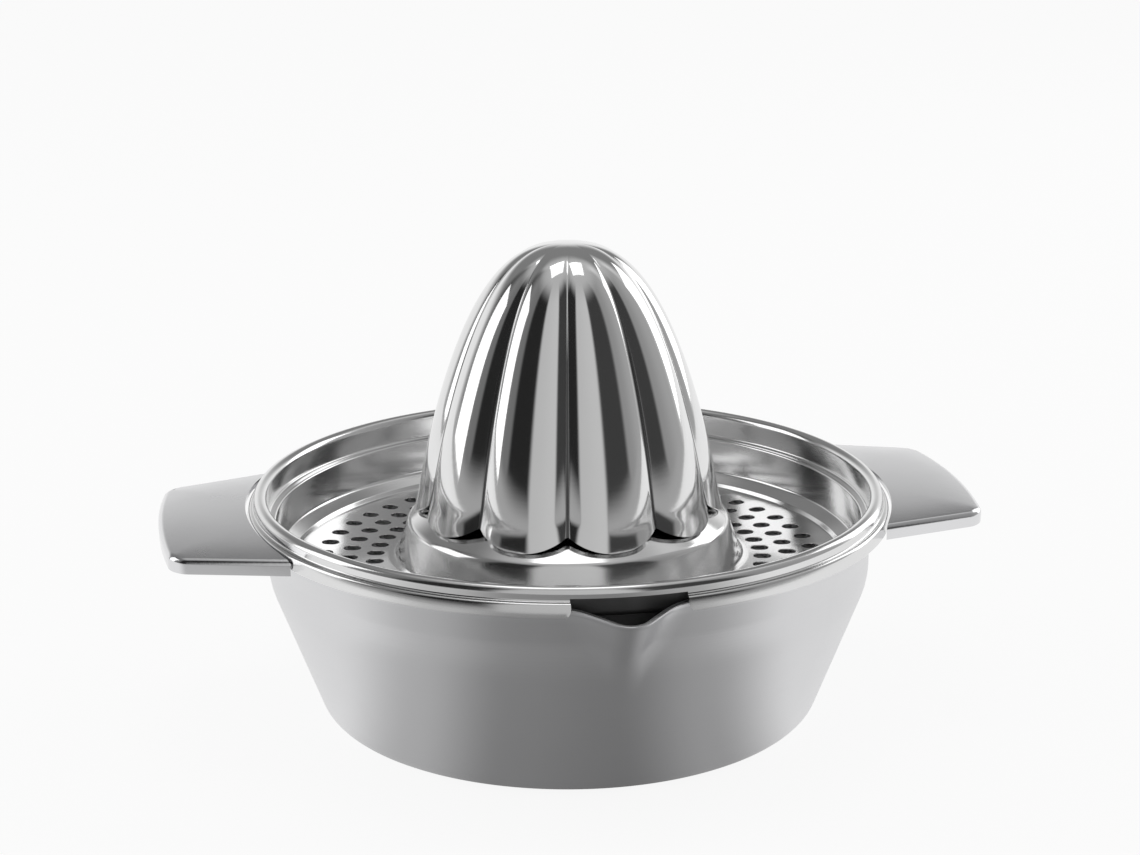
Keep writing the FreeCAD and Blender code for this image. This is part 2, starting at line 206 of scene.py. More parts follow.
inner_corners = other_face(BOWL_CORNERS, BOWL_SHEET)[:-1][::-1]
bowl_outline = rounded(
    BOWL_CORNERS[:-1] + RIM_CORNERS + inner_corners, WALL_SPACING, WALL_SPACED_ABOVE
)
bowl = turned("bowl_body", bowl_outline, BOWL_SIDES)
rim_point = max(range(len(bowl_outline)), key=lambda index: bowl_outline[index].y)
outline_places = KDTree(len(bowl_outline))
for index, point in enumerate(bowl_outline):
    outline_places.insert((point.x, point.y, 0), index)
outline_places.balance()
for vertex in bowl.data.vertices:
    radius = vertex.co.xy.length / MM
    height = vertex.co.z / MM
    around = math.atan2(vertex.co.x, -vertex.co.y)
    around -= LIP_CROWDING * math.sin(around)
    outline_index = outline_places.find((radius, height, 0))[1]
    if height > BOWL_RIM_HEIGHT - RIM_EDGE_HEIGHT - RIM_MARGIN:
        grow = radius - NECK_RADIUS
    elif outline_index < rim_point:
        grow = 0
    else:
        grow = -BOWL_SHEET
    if abs(around) < LIP_SIDE_ANGLE and height > BOWL_RIM_HEIGHT - LIP_FADE_DEPTH:
        pressed = blended_max(radius, lip_radius(around, height, grow), LIP_BLEND)
        share_up = max(1 - (BOWL_RIM_HEIGHT - height) / LIP_DEPTH, 0)
        vertex.co.z -= LIP_DIP * share_up * (pressed - radius) / LIP_REACH * MM
        radius = pressed
    vertex.co.x = radius * MM * math.sin(around + LIP_HEADING)
    vertex.co.y = -radius * MM * math.cos(around + LIP_HEADING)
smooth_by_angle(bowl, BOWL_SMOOTHING)


def new_material(name):
    """A material with a Principled shader, and its node tree."""
    material = bpy.data.materials.new(name)
    material.use_nodes = True
    tree = material.node_tree
    return material, tree, tree.nodes["Principled BSDF"]


def add_node(tree, kind, **settings):
    """A new node with its settings and, by name or number, the values of its inputs."""
    node = tree.nodes.new("ShaderNode" + kind)
    inputs = settings.pop("inputs", {})
    for key, value in settings.items():
        setattr(node, key, value)
    for key, value in inputs.items():
        if isinstance(value, bpy.types.NodeSocket):
            tree.links.new(value, node.inputs[key])
        else:
            node.inputs[key].default_value = value
    return node


def math_node(tree, operation, first, second=0.0, third=0.0):
    inputs = {0: first, 1: second, 2: third}
    return add_node(tree, "Math", operation=operation, inputs=inputs).outputs[0]


def map_range(tree, value, low, high, at_low=0.0, at_high=1.0, smooth=False):
    """Carry a value from one range to another, eased at both ends if it is smooth."""
    inputs = {0: value, 1: low, 2: high, 3: at_low, 4: at_high}
    node = add_node(tree, "MapRange", inputs=inputs)
    if smooth:
        node.interpolation_type = "SMOOTHSTEP"
    return node.outputs[0]


def object_place(tree):
    """A point's three coordinates on the piece, its place seen from above, and its radius."""
    place = add_node(tree, "TexCoord").outputs["Object"]
    parts = add_node(tree, "SeparateXYZ", inputs={0: place}).outputs
    from_above = add_node(tree, "CombineXYZ", inputs={0: parts[0], 1: parts[1]}).outputs[0]
    length = add_node(tree, "VectorMath", operation="LENGTH", inputs={0: from_above})
    return parts, from_above, length.outputs["Value"]


def new_group(name, inputs, outputs):
    """An empty node group with named sockets; an input is a name and a default."""
    group = bpy.data.node_groups.new(name, "ShaderNodeTree")
    for label, default in inputs.items():
        socket = group.interface.new_socket(label, in_out="INPUT", socket_type="NodeSocketFloat")
        socket.default_value = default
    for label in outputs:
        group.interface.new_socket(label, in_out="OUTPUT", socket_type="NodeSocketFloat")
    return group, group.nodes.new("NodeGroupInput"), group.nodes.new("NodeGroupOutput")


def place_group(tree, group, **values):
    node = tree.nodes.new("ShaderNodeGroup")
    node.node_tree = group
    for label, value in values.items():
        node.inputs[label].default_value = value
    return node


# Fine lines that run round the piece, as a polishing belt leaves them on a spinning part
turned_lines, group_in, group_out = new_group(
    "turned lines", {"Lines": 2600.0, "Reach": 3.0}, ["Lines"]
)
parts, from_above, from_axis = object_place(turned_lines)
heading = add_node(turned_lines, "VectorMath", operation="NORMALIZE", inputs={0: from_above})
heading_parts = add_node(turned_lines, "SeparateXYZ", inputs={0: heading.outputs[0]}).outputs
lines = group_in.outputs["Lines"]
reach = group_in.outputs["Reach"]
line_place = add_node(
    turned_lines,
    "CombineXYZ",
    inputs={
        0: math_node(turned_lines, "MULTIPLY", heading_parts[0], reach),
        1: math_node(turned_lines, "MULTIPLY", heading_parts[1], reach),
        2: math_node(turned_lines, "MULTIPLY", parts[2], lines),
    },
).outputs[0]
line_noise = add_node(
    turned_lines,
    "TexNoise",
    noise_dimensions="4D",
    inputs={
        "Vector": line_place,
        "W": math_node(turned_lines, "MULTIPLY", from_axis, lines),
        "Scale": 1.0,
        "Detail": 3.0,
        "Roughness": 0.6,
    },
)
turned_lines.links.new(line_noise.outputs[0], group_out.inputs["Lines"])

# Faint cloudy smears and hairline scratches from washing and handling
SCRATCH_BEND = 0.012
SCRATCH_WIDTH = 0.02
SCRATCH_STRETCH = (0.07, 1, 0.4)
SCRATCH_TILT = (0.5, 0.3, 0.8)

handling, group_in, group_out = new_group(
    "handling marks", {"Size": 60.0, "Scratches": 900.0}, ["Smear", "Scratch"]
)
place = add_node(handling, "TexCoord").outputs["Object"]
smear = add_node(
    handling,
    "TexNoise",
    inputs={"Vector": place, "Scale": group_in.outputs["Size"], "Detail": 5.0, "Roughness": 0.55},
)
handling.links.new(smear.outputs[0], group_out.inputs["Smear"])
bend = add_node(handling, "TexNoise", inputs={"Vector": place, "Scale": 90.0, "Detail": 1.0})
bent_place = add_node(
    handling,
    "VectorMath",
    operation="MULTIPLY_ADD",
    inputs={0: bend.outputs["Color"], 1: (SCRATCH_BEND, SCRATCH_BEND, SCRATCH_BEND), 2: place},
).outputs[0]
stretched_place = add_node(
    handling,
    "Mapping",
    inputs={"Vector": bent_place, "Rotation": SCRATCH_TILT, "Scale": SCRATCH_STRETCH},
).outputs[0]
scratch_cells = add_node(
    handling,
    "TexVoronoi",
    feature="DISTANCE_TO_EDGE",
    inputs={"Vector": stretched_place, "Scale": group_in.outputs["Scratches"]},
)
scratch = map_range(handling, scratch_cells.outputs["Distance"], 0.0, SCRATCH_WIDTH, 1.0, 0.0)
handling.links.new(scratch, group_out.inputs["Scratch"])

LINE_RELIEF_HEIGHT = 0.0002
SMEARED_SHARE = 0.94


def steel(name, colour, roughness, spread, line_count, relief):
    """Stainless steel: turned lines and handling marks vary its roughness and relief."""
    material, tree, shader = new_material(name)
    lines = place_group(tree, turned_lines, Lines=line_count, Reach=3.0).outputs["Lines"]
    marks = place_group(tree, handling, Size=45.0, Scratches=260.0).outputs
    grain = math_node(tree, "MULTIPLY_ADD", lines, spread, roughness - spread / 2)
    smeared = math_node(tree, "MULTIPLY_ADD", marks["Smear"], spread, grain)
    scratched = math_node(tree, "MULTIPLY_ADD", marks["Scratch"], spread / 3, smeared)
    tree.links.new(scratched, shader.inputs["Roughness"])
    bump = add_node(
        tree,
        "Bump",
        inputs={"Strength": relief, "Distance": LINE_RELIEF_HEIGHT, "Height": lines},
    )
    tree.links.new(bump.outputs[0], shader.inputs["Normal"])
    shader.inputs["Metallic"].default_value = 1.0
    smears = add_node(tree, "CombineXYZ", inputs={axis: marks["Smear"] for axis in range(3)})
    smeared_colour = [SMEARED_SHARE * channel for channel in colour]
    tint = add_node(
        tree,
        "MapRange",
        data_type="FLOAT_VECTOR",
        inputs={"Vector": smears.outputs[0], 9: smeared_colour, 10: colour},
    )
    tree.links.new(tint.outputs["Vector"], shader.inputs["Base Color"])
    return material


satin_steel = steel("satin stainless steel", (0.74, 0.74, 0.75), 0.27, 0.06, 2600.0, 0.12)
bowl.data.materials.append(satin_steel)
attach(bowl, "bowl")
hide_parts("juice_bowl")


# Strainer tray
# Pressed from one 0.8 mm sheet: a rolled rim bead with a skirt that caps the bowl, a floor with
# three rings of punched slots, and a raised plinth that carries the reamer's seat.

TRAY_SHEET = 0.8
TRAY_SIDES = 336
TRAY_SMOOTHING = 20
TRAY_RIM_HEIGHT = 47.0
FLOOR_HEIGHT = 31.2
SKIRT_BOTTOM = 41.55
SKIRT_RADIUS = 66.4
SKIRT_EDGE_BEND = 0.35

# Corners of the upper face from the seat outwards: radius, height and bend radius
TRAY_CORNERS = [
    (8.0, 49.4, 0),
    (27.0, 49.4, 1.0),
    (27.2, 44.0, 0.6),
    (33.3, 40.1, 2.2),
    (36.0, FLOOR_HEIGHT, 2.4),
    (57.1, FLOOR_HEIGHT, 0.3),
    (57.6, 32.1, 0.4),
    (60.3, 33.6, 0.9),
    (60.3, 41.3, 0.45),
    (62.0, 41.3, 0.5),
    (62.0, TRAY_RIM_HEIGHT, 1.38),
    (64.8, TRAY_RIM_HEIGHT, 1.38),
    (64.8, 44.25, 0.4),
    (65.8, 44.6, 0.7),
    (SKIRT_RADIUS, SKIRT_BOTTOM, 0),
]

SLOTS_PER_RING = 48
SLOT_RINGS = (40.4, 45.8, 51.2)
SLOT_LENGTH = 3.7
SLOT_WIDTH = 3.0
SLOT_TURN = math.radians(3.1)
SLOT_EDGE_BEVEL = 0.1
PUNCH_SIDES = 20
PUNCH_HEIGHT = 6.0

NOTCH_HALF_WIDTH = 11.0
NOTCH_TOP = 45.0
NOTCH_CORNER = 1.8
NOTCH_CORNER_STEPS = 7
NOTCH_TOOL_RADIUS = 67.4
NOTCH_TOOL_DEPTH = 9.0
NOTCH_TOOL_MIDDLE = 39.5

# A face looks along an axis if this much of its normal does, and across it if only this little
ALONG_AXIS = 0.9
ACROSS_AXIS = 0.1


def cut_away(piece, tool):
    """Take the tool's shape out of the piece, and the tool out of the scene."""
    cut = piece.modifiers.new("cut", "BOOLEAN")
    cut.operation = "DIFFERENCE"
    cut.solver = "EXACT"
    cut.object = tool
    clear_selection()
    piece.select_set(True)
    bpy.context.view_layer.objects.active = piece
    bpy.ops.object.modifier_apply(modifier=cut.name)
    bpy.data.objects.remove(tool)


def select_only(piece, kind, wanted):
    """Select in edit mode just the elements of one kind that are wanted."""
    bpy.ops.object.mode_set(mode="EDIT")
    bpy.ops.mesh.select_mode(type=kind)
    bpy.ops.mesh.select_all(action="DESELECT")
    bpy.ops.object.mode_set(mode="OBJECT")
    mesh = piece.data
    elements = {"VERT": mesh.vertices, "EDGE": mesh.edges, "FACE": mesh.polygons}[kind]
    for element in elements:
        element.select = bool(wanted(element))
    bpy.ops.object.mode_set(mode="EDIT")


def corners_of(piece, element):
    """Where the corners of one of the piece's edges or faces are."""
    return [piece.data.vertices[index].co for index in element.vertices]


tray_top = TRAY_CORNERS[:-1] + [(SKIRT_RADIUS, SKIRT_BOTTOM, SKIRT_EDGE_BEND)]
tray_underside = other_face(TRAY_CORNERS, -TRAY_SHEET)
tray_underside[-1] = (SKIRT_RADIUS - TRAY_SHEET, SKIRT_BOTTOM, SKIRT_EDGE_BEND)
tray = turned("tray_body", rounded(tray_top + tray_underside[::-1]), TRAY_SIDES)

clear_selection()
bpy.ops.mesh.primitive_cylinder_add(
    vertices=PUNCH_SIDES,
    radius=SLOT_WIDTH / 2 * MM,
    depth=PUNCH_HEIGHT * MM,
    location=(0, 0, FLOOR_HEIGHT * MM),
)
punch = bpy.context.object
bpy.ops.object.transform_apply(location=True)
stretch = (SLOT_LENGTH - SLOT_WIDTH) / 2 * MM
for vertex in punch.data.vertices:
    if abs(vertex.co.x) > 0.001 * MM:
        vertex.co.x += math.copysign(stretch, vertex.co.x)
punches = []
pitch = math.tau / SLOTS_PER_RING
for ring, ring_radius in enumerate(SLOT_RINGS):
    outwards = Matrix.Translation((ring_radius * MM, 0, 0))
    for count in range(SLOTS_PER_RING):
        turn = SLOT_TURN + (count + ring % 2 / 2) * pitch
        copy = punch.copy()
        copy.data = punch.data.copy()
        copy.data.transform(Matrix.Rotation(turn, 4, "Z") @ outwards)
        bpy.context.collection.objects.link(copy)
        punches.append(copy)
bpy.data.objects.remove(punch)
clear_selection()
for copy in punches:
    copy.select_set(True)
bpy.context.view_layer.objects.active = punches[0]
bpy.ops.object.join()
cut_away(tray, bpy.context.object)

# The notch over the lip, cut with a block that narrows upwards in a quarter round
clear_selection()
bpy.ops.mesh.primitive_cube_add(
    size=1, location=(0, -NOTCH_TOOL_RADIUS * MM, NOTCH_TOOL_MIDDLE * MM)
)
notch = bpy.context.object
notch.scale = (
    2 * (NOTCH_HALF_WIDTH + NOTCH_CORNER) * MM,
    NOTCH_TOOL_DEPTH * MM,
    2 * (SKIRT_BOTTOM - NOTCH_TOOL_MIDDLE) * MM,
)
bpy.ops.object.transform_apply(location=True, scale=True)
select_only(notch, "FACE", lambda face: face.normal.z > ALONG_AXIS)
half_width = NOTCH_HALF_WIDTH + NOTCH_CORNER
level = SKIRT_BOTTOM
for step in range(1, NOTCH_CORNER_STEPS + 1):
    angle = math.radians(90 - 90 * step / NOTCH_CORNER_STEPS)
    next_half_width = NOTCH_HALF_WIDTH + NOTCH_CORNER * (1 - math.cos(angle))
    next_level = SKIRT_BOTTOM + NOTCH_CORNER * (1 - math.sin(angle))
    rise = (0, 0, (next_level - level) * MM)
    bpy.ops.mesh.extrude_region_move(TRANSFORM_OT_translate={"value": rise})
    narrowing = next_half_width / half_width
    bpy.ops.transform.resize(value=(narrowing, 1, 1), center_override=(0, 0, 0))
    half_width = next_half_width
    level = next_level
rise = (0, 0, (NOTCH_TOP - level) * MM)
bpy.ops.mesh.extrude_region_move(TRANSFORM_OT_translate={"value": rise})
bpy.ops.object.mode_set(mode="OBJECT")
cut_away(tray, notch)

edge_tilts = {}
for face in tray.data.polygons:
    for key in face.edge_keys:
        edge_tilts.setdefault(key, []).append(face.normal.z)


def is_slot_edge(edge):
    """True for an edge between the top of the floor and the wall of a slot."""
    if any(abs(end.z / MM - FLOOR_HEIGHT) >= 0.01 for end in corners_of(tray, edge)):
        return False
    tilts = edge_tilts.get(tuple(sorted(edge.vertices)), [])
    return any(tilt > ALONG_AXIS for tilt in tilts) and any(abs(tilt) < ACROSS_AXIS for tilt in tilts)


select_only(tray, "EDGE", is_slot_edge)
bpy.ops.mesh.bevel(offset=SLOT_EDGE_BEVEL * MM, segments=2, affect="EDGES")
bpy.ops.object.mode_set(mode="OBJECT")
smooth_by_angle(tray, TRAY_SMOOTHING)


def mixed(tree, share, first, second):
    """A level between two others: the first at a share of none, the second at the whole."""
    inputs = {0: share, 2: first, 3: second}
    return add_node(tree, "Mix", data_type="FLOAT", inputs=inputs).outputs[0]


def dull_and_paint_shade(material, mask, level, roughness):
    """Dull polished steel and lay a painted shade of dark grey over it wherever the mask is one."""
    tree = material.node_tree
    shader = tree.nodes["Principled BSDF"]
    colour = shader.inputs["Base Color"].links[0].from_socket
    polish = shader.inputs["Roughness"].links[0].from_socket
    inputs = {0: mask, 6: colour, 7: (level, level, level, 1)}
    shade_colour = add_node(tree, "Mix", data_type="RGBA", inputs=inputs)
    tree.links.new(shade_colour.outputs[2], shader.inputs["Base Color"])
    tree.links.new(mixed(tree, mask, polish, roughness), shader.inputs["Roughness"])


polished_steel = steel("polished stainless steel", (0.80, 0.80, 0.80), 0.12, 0.03, 1700.0, 0.012)

# The outer side of the tray's wall, hidden inside the bowl, keeps the dull skin of the press, and its
# dark grey is painted shade between the tray and the bowl.
# It starts at the middle of the sheet, below the ledge and in the bead alike.
LEDGE_MIDDLE = 41.0
WALL_MIDDLE = 60.8
BEAD_WALL_MIDDLE = 62.4
DULL_SHADE_REACH = 63.2
DULL_SHADE_TOP = 45.0

tree = polished_steel.node_tree
parts, _, from_axis = object_place(tree)
above_ledge = math_node(tree, "GREATER_THAN", parts[2], LEDGE_MIDDLE * MM)
sheet_middle = mixed(tree, above_ledge, WALL_MIDDLE * MM, BEAD_WALL_MIDDLE * MM)
outside = math_node(tree, "GREATER_THAN", from_axis, sheet_middle)
below_top = math_node(tree, "LESS_THAN", parts[2], DULL_SHADE_TOP * MM)
within_reach = math_node(tree, "LESS_THAN", from_axis, DULL_SHADE_REACH * MM)
below_bead = math_node(tree, "MULTIPLY", below_top, within_reach)
# Painted shade: the hidden outer wall is dulled and laid over with dark grey.
dull_and_paint_shade(polished_steel, math_node(tree, "MULTIPLY", outside, below_bead), 0.16, 0.5)
tray.data.materials.append(polished_steel)
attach(tray, "insert")
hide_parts("strainer_tray")


# Fluted reamer
# A mirror-polished shell of ten lobes with sharp valleys between them, spot-welded to the seat
# at its valleys. Its lower edge is scalloped and stands just clear of the plinth.

LOBES = 10
REAMER_SIDES = LOBES * 36
REAMER_SMOOTHING = 50
REAMER_SHEET = 0.8
REAMER_FOOT = 41.8
REAMER_HEIGHT = 55.7
REAMER_FULLNESS = 1.15
REAMER_TIP_FULLNESS = 0.38
REAMER_RINGS = 60
REAMER_LAST_RING = math.radians(88.8)
CREST_RADIUS = 31.6
VALLEY_RADIUS = 29.6
MIDDLE_RADIUS = (CREST_RADIUS + VALLEY_RADIUS) / 2
LOBE_FULLNESS = 2.4
REAMER_TURN = math.radians(7.7)
VALLEY_BLEND = 0.25
FLUTES_FADE_BELOW = 0.3
SCALLOP_RISE = 3.2
SCALLOP_REACH = 9.0
EDGE_FLARE = 0.4
EDGE_FLARE_REACH = 4.0
EDGE_FLARE_CURVE = 1.5

# Heights over the foot of the close rings at the lower edge, and the gap to the rings above
LOW_RINGS = [0.0, 0.25, 0.5, 0.9, 1.5]
LOW_RINGS_GAP = 0.3


def reamer_share(height):
    """Share of its foot size that the reamer has at a height over its foot."""
    return max(1 - (height / REAMER_HEIGHT) ** REAMER_FULLNESS, 0) ** REAMER_TIP_FULLNESS


def lobe_radius(turn):
    """Radius of the fluted foot at an angle from the middle of a lobe."""
    half_pitch = math.pi / LOBES
    valley_depth = CREST_RADIUS - VALLEY_RADIUS

    def one_lobe(angle):
        return CREST_RADIUS - valley_depth * (angle / half_pitch) ** LOBE_FULLNESS

    return blended_max(one_lobe(abs(turn)), one_lobe(2 * half_pitch - abs(turn)), VALLEY_BLEND)


def scallop_height(across):
    """Height of the lower edge over the foot, at a distance from the middle of a lobe."""
    half_chord = VALLEY_RADIUS * math.sin(math.pi / LOBES)
    arc = (half_chord ** 2 + SCALLOP_RISE ** 2) / (2 * SCALLOP_RISE)
    return arc - math.sqrt(arc ** 2 - min(abs(across), half_chord) ** 2)


reamer_outline = [
    Vector((CREST_RADIUS * reamer_share(height), REAMER_FOOT + height)) for height in LOW_RINGS
]
for step in range(REAMER_RINGS + 1):
    share = math.cos(REAMER_LAST_RING * step / REAMER_RINGS)
    from_top = 1 - share ** (1 / REAMER_TIP_FULLNESS)
    height = REAMER_HEIGHT * from_top ** (1 / REAMER_FULLNESS)
    if height > LOW_RINGS[-1] + LOW_RINGS_GAP:
        reamer_outline.append(Vector((CREST_RADIUS * share, REAMER_FOOT + height)))
reamer = turned("reamer_body", reamer_outline, REAMER_SIDES, fill=False)
for vertex in reamer.data.vertices:
    height = vertex.co.z / MM - REAMER_FOOT
    turn = math.atan2(vertex.co.y, vertex.co.x)
    from_lobe = (turn - REAMER_TURN) % (math.tau / LOBES) - math.pi / LOBES
    edge = scallop_height(VALLEY_RADIUS * math.sin(from_lobe))
    raised = height
    if height < SCALLOP_REACH:
        raised = edge + height / SCALLOP_REACH * (SCALLOP_REACH - edge)
    share = reamer_share(raised)
    fluted = min(share / FLUTES_FADE_BELOW, 1)
    fluted = fluted * fluted * (3 - 2 * fluted)
    radius = share * (MIDDLE_RADIUS + fluted * (lobe_radius(from_lobe) - MIDDLE_RADIUS))
    edge_nearness = max(1 - (raised - edge) / EDGE_FLARE_REACH, 0)
    radius += EDGE_FLARE * edge_nearness ** EDGE_FLARE_CURVE
    vertex.co.x = radius * MM * math.cos(turn)
    vertex.co.y = radius * MM * math.sin(turn)
    vertex.co.z = (REAMER_FOOT + raised) * MM
top = max(vertex.co.z for vertex in reamer.data.vertices)
select_only(reamer, "VERT", lambda vertex: vertex.co.z > top - SAME_PLACE * MM)
bpy.ops.mesh.edge_face_add()
bpy.ops.mesh.select_all(action="SELECT")
bpy.ops.mesh.normals_make_consistent(inside=False)
bpy.ops.object.mode_set(mode="OBJECT")
wall = reamer.modifiers.new("wall", "SOLIDIFY")
wall.thickness = REAMER_SHEET * MM
wall.offset = -1
bpy.ops.object.modifier_apply(modifier=wall.name)
smooth_by_angle(reamer, REAMER_SMOOTHING)

mirror_steel = steel("mirror stainless steel", (0.84, 0.84, 0.84), 0.06, 0.02, 900.0, 0.008)

# A polishing wheel doesn't reach the bottom of the valleys, so a thin dull line stays there, and its
# dark grey is painted shade in the valleys.
# The line is given by its core and its edge, as angles, and by where it fades out below the tip.
VALLEY_SHADE_CORE = 0.007
VALLEY_SHADE_EDGE = 0.017
VALLEY_SHADE_FADE = (78, 90)

tree = mirror_steel.node_tree
place = add_node(tree, "TexCoord").outputs["Object"]
parts = add_node(tree, "SeparateXYZ", inputs={0: place}).outputs
around = math_node(tree, "ARCTAN2", parts[1], parts[0])
from_first_valley = math_node(tree, "SUBTRACT", around, REAMER_TURN)
from_valley = math_node(tree, "PINGPONG", from_first_valley, math.pi / LOBES)
in_valley_shade = map_range(tree, from_valley, VALLEY_SHADE_CORE, VALLEY_SHADE_EDGE, 1.0, 0.0)
fade_start, fade_end = VALLEY_SHADE_FADE
below_tip = map_range(tree, parts[2], fade_start * MM, fade_end * MM, 1.0, 0.0)
# Painted shade: a dull, dark grey line down each valley.
dull_and_paint_shade(mirror_steel, math_node(tree, "MULTIPLY", in_valley_shade, below_tip), 0.12, 0.35)
reamer.data.materials.append(mirror_steel)
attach(reamer, "insert")
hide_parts("fluted_reamer")


# Ear handles
# Two folded plates of 0.9 mm steel, spot-welded to the skirt: a satin, slightly crowned top and
# polished edges that are turned down round the tip and both sides.

HANDLE_SHEET = 0.9
HANDLE_SMOOTHING = 40
HANDLE_TOP = 44.35
HANDLE_DEPTH = 3.1
HANDLE_ROOT_HALF_WIDTH = 29.8
HANDLE_TAPER = math.tan(math.radians(16.5))
HANDLE_CORNER_REACH = 82.2
HANDLE_BULGE = 1.95
HANDLE_CORNER_BEVEL = 3.15
HANDLE_CORNER_FACES = 8
HANDLE_FOLD = 1.25
HANDLE_FOLD_FACES = 6
HANDLE_CROWN = 0.35
HANDLE_CROWN_REACH = 3.5
HANDLE_BOW = 0.9
HANDLE_DROOP = math.radians(2)
HANDLE_TO_SKIRT_GAP = 0.12

# How finely the tip, the root and the top are divided before they are curved
TIP_CUTS = 31
ROOT_CUTS = 39
CUTS_ACROSS = range(61, 84)
CUTS_ALONG = range(-28, 29, 2)

# Distances along the handle, edge lengths and a tilt that tell its edges and faces apart
ROOT_END = 61
HANDLE_MIDDLE = 70
TIP_START = 80
SHORT_EDGE = 1
LONG_EDGE = 10
FLAT_TILT = 0.999

clear_selection()
root_radius = SKIRT_RADIUS + HANDLE_TO_SKIRT_GAP
root_reach = math.sqrt(root_radius ** 2 - HANDLE_ROOT_HALF_WIDTH ** 2)
bpy.ops.mesh.primitive_cube_add(
    size=1,
    location=((root_reach + HANDLE_CORNER_REACH) / 2 * MM, 0, (HANDLE_TOP - HANDLE_DEPTH / 2) * MM),
)
right_handle = bpy.context.object
right_handle.name = "right_handle"
right_handle.data.name = "right_handle"
corner_half_width = HANDLE_ROOT_HALF_WIDTH - HANDLE_TAPER * (HANDLE_CORNER_REACH - root_reach)
right_handle.scale = (
    (HANDLE_CORNER_REACH - root_reach) * MM,
    2 * HANDLE_ROOT_HALF_WIDTH * MM,
    HANDLE_DEPTH * MM,
)
bpy.ops.object.transform_apply(location=True, scale=True)
select_only(right_handle, "FACE", lambda face: face.normal.x > ALONG_AXIS)
bpy.ops.transform.resize(
    value=(1, corner_half_width / HANDLE_ROOT_HALF_WIDTH, 1), center_override=(0, 0, 0)
)


def is_tip_upright(edge):
    first, second = corners_of(right_handle, edge)
    return min(first.x, second.x) > TIP_START * MM and abs(first.z - second.z) > SHORT_EDGE * MM


def is_long_tip_edge(edge):
    first, second = corners_of(right_handle, edge)
    return min(first.x, second.x) > TIP_START * MM and abs(first.y - second.y) > LONG_EDGE * MM


def is_root_edge(edge):
    first, second = corners_of(right_handle, edge)
    return max(first.x, second.x) < ROOT_END * MM and abs(first.y - second.y) > LONG_EDGE * MM


def is_top_outline(edge):
    first, second = corners_of(right_handle, edge)
    at_top = min(first.z, second.z) > (HANDLE_TOP - 0.01) * MM
    return at_top and max(first.x, second.x) > HANDLE_MIDDLE * MM


def is_root_face(face):
    corners = corners_of(right_handle, face)
    at_root = all(abs(corner.xy.length - root_radius * MM) < 0.1 * MM for corner in corners)
    return at_root and abs(face.normal.z) < ACROSS_AXIS


select_only(right_handle, "EDGE", is_tip_upright)
bpy.ops.mesh.bevel(
    offset=HANDLE_CORNER_BEVEL * MM, segments=HANDLE_CORNER_FACES, affect="EDGES"
)
select_only(right_handle, "EDGE", is_long_tip_edge)
bpy.ops.mesh.subdivide(number_cuts=TIP_CUTS)
select_only(right_handle, "EDGE", is_root_edge)
bpy.ops.mesh.subdivide(number_cuts=ROOT_CUTS)
bpy.ops.object.mode_set(mode="OBJECT")
for vertex in right_handle.data.vertices:
    side = vertex.co.y / MM
    if vertex.co.x > HANDLE_MIDDLE * MM:
        vertex.co.x += HANDLE_BULGE * max(1 - (side / corner_half_width) ** 2, 0) * MM
    elif abs(side) < HANDLE_ROOT_HALF_WIDTH:
        vertex.co.x = math.sqrt(root_radius ** 2 - side ** 2) * MM
select_only(right_handle, "EDGE", is_top_outline)
bpy.ops.mesh.bevel(offset=HANDLE_FOLD * MM, segments=HANDLE_FOLD_FACES, affect="EDGES")
for cut in CUTS_ACROSS:
    select_only(right_handle, "FACE", lambda face: face.normal.z > FLAT_TILT)
    bpy.ops.mesh.bisect(plane_co=(cut * MM, 0, 0), plane_no=(1, 0, 0))
for cut in CUTS_ALONG:
    select_only(right_handle, "FACE", lambda face: face.normal.z > FLAT_TILT)
    bpy.ops.mesh.bisect(plane_co=(0, cut * MM, 0), plane_no=(0, 1, 0))
select_only(right_handle, "FACE", lambda face: face.normal.z < -ALONG_AXIS)
bpy.ops.mesh.delete(type="FACE")
select_only(right_handle, "FACE", is_root_face)
bpy.ops.mesh.delete(type="FACE")
bpy.ops.object.mode_set(mode="OBJECT")
for vertex in right_handle.data.vertices:
    reach = vertex.co.x / MM
    side = vertex.co.y / MM
    to_tip = HANDLE_CORNER_REACH + HANDLE_BULGE * (1 - (side / corner_half_width) ** 2) - reach
    to_side = HANDLE_ROOT_HALF_WIDTH - HANDLE_TAPER * (reach - root_reach) - abs(side)
    inward = max(min(to_tip, to_side) - HANDLE_FOLD, 0)
    crown = HANDLE_CROWN * (1 - math.exp(-inward / HANDLE_CROWN_REACH))
    bow = HANDLE_BOW * (side / HANDLE_ROOT_HALF_WIDTH) ** 2
    vertex.co.z -= bow * MM
    if vertex.co.z > (HANDLE_TOP - HANDLE_FOLD / 2 - bow) * MM:
        vertex.co.z += crown * MM
wall = right_handle.modifiers.new("wall", "SOLIDIFY")
wall.thickness = HANDLE_SHEET * MM
wall.offset = -1
wall.use_even_offset = True
bpy.ops.object.modifier_apply(modifier=wall.name)
droop_centre = Vector((SKIRT_RADIUS * MM, 0, HANDLE_TOP * MM))
right_handle.data.transform(
    Matrix.Translation(droop_centre)
    @ Matrix.Rotation(HANDLE_DROOP, 4, "Y")
    @ Matrix.Translation(-droop_centre)
)
for vertex in right_handle.data.vertices:
    if vertex.co.xy.length < root_radius * MM:
        vertex.co.x = math.sqrt((root_radius * MM) ** 2 - vertex.co.y ** 2)
smooth_by_angle(right_handle, HANDLE_SMOOTHING)

# The top is satin and the turned-down edges are polished: the tilt of the surface tells them apart
EDGE_TILT = 0.9
TOP_TILT = 0.985

